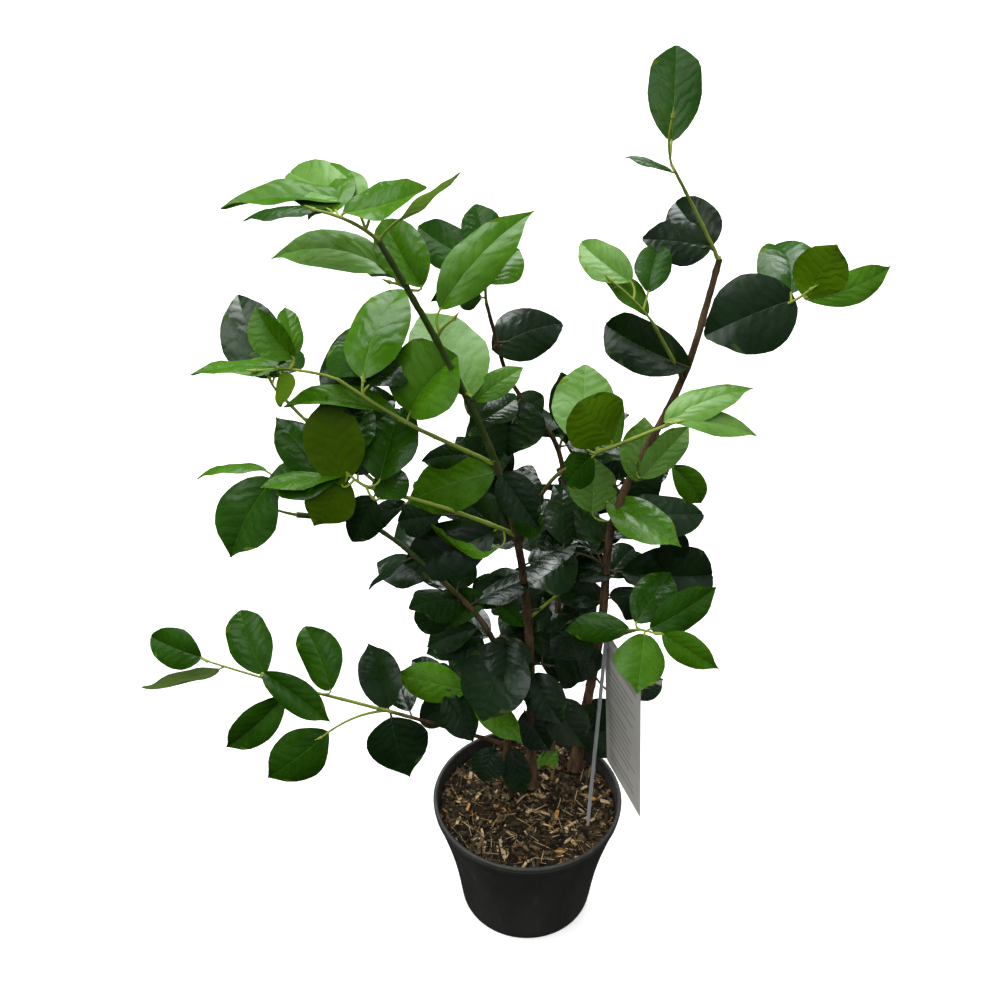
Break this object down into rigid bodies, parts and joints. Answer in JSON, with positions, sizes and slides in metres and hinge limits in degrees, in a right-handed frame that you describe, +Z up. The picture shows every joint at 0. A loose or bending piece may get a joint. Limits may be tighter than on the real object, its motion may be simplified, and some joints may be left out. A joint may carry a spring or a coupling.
{
  "type": "potted camellia shrub",
  "caption": "Young camellia shrub in a round nursery pot, with slender leaning stems, side boughs and separate masses of glossy evergreen leaves, and a blank plant label.",
  "frame": {"origin": "centre of the pot's flat underside, on the surface the pot stands on", "axes": "+Z up; -Y towards the shrub's open front, +X to its right"},
  "size_m": [0.579, 0.3252, 0.867],
  "materials": {
    "pot": "matt black with a soft sheen and faint flow marks",
    "potting_mix": "coarse bark chips and fibres",
    "bark": "reddish brown young bark, dry and finely fissured",
    "green_wood": "smooth green shoots turning brown at the foot",
    "leaf_old": "leathery, glossy, very dark green",
    "leaf_grown": "leathery and glossy mid green",
    "leaf_young": "glossy bright green",
    "label_card": "blank pale grey card with a dark lower edge",
    "label_stick": "milky translucent strip"
  },
  "bodies": {
    "root": {"pot": "pot", "potting_mix": "potting_mix", "label_stick": "label_stick", "label_card": "label_card", "stem_left": "bark", "stem_right": "bark", "stem_back": "bark", "stem_mid": "bark", "bough_low_left": "green_wood", "bough_left_mid": "green_wood", "bough_left_back": "green_wood", "bough_left_upper": "green_wood", "bough_cross": "green_wood", "bough_right_low": "green_wood", "bough_upper_left": "green_wood", "bough_upper_right": "green_wood", "bough_rear_left": "green_wood", "bough_rear_right": "green_wood", "shoot_top": "green_wood", "foliage_top_left_front": "leaf_young", "foliage_top_left_side": "leaf_young", "foliage_top_left_right": "leaf_young", "foliage_back_top": "leaf_grown", "foliage_back_side": "leaf_old", "foliage_left_upper_tip": "leaf_grown", "foliage_left_upper_mid": "leaf_grown", "foliage_left_upper_inner": "leaf_grown", "foliage_left_back_tip": "leaf_grown", "foliage_left_mid_upper": "leaf_grown", "foliage_left_mid_tip": "leaf_grown", "foliage_left_mid_front": "leaf_grown", "foliage_left_low": "leaf_old", "foliage_center_pale": "leaf_young", "foliage_center_dark": "leaf_old", "foliage_center": "leaf_old", "foliage_right_mid_tip": "leaf_young", "foliage_right_mid_upper": "leaf_young", "foliage_right_mid_lower": "leaf_grown", "foliage_right_front": "leaf_grown", "foliage_right_back": "leaf_old", "foliage_right_low": "leaf_young", "foliage_low_left_mid": "leaf_grown", "foliage_low_left_tip": "leaf_grown", "foliage_low_left_fork": "leaf_grown", "foliage_low_left_hang": "leaf_old", "foliage_base_left": "leaf_old", "foliage_base_front": "leaf_old", "foliage_base_right": "leaf_old", "foliage_base_mid": "leaf_old", "foliage_top_spray": "leaf_grown", "foliage_upper_dark": "leaf_old", "foliage_upper_left_tip": "leaf_grown", "foliage_upper_left_dark": "leaf_old", "foliage_upper_right_tip": "leaf_young", "foliage_upper_right_dark": "leaf_old", "foliage_rear_left": "leaf_old", "foliage_rear_right": "leaf_old", "foliage_rear_low": "leaf_old", "foliage_rear_top": "leaf_grown"}
  },
  "joints": []
}
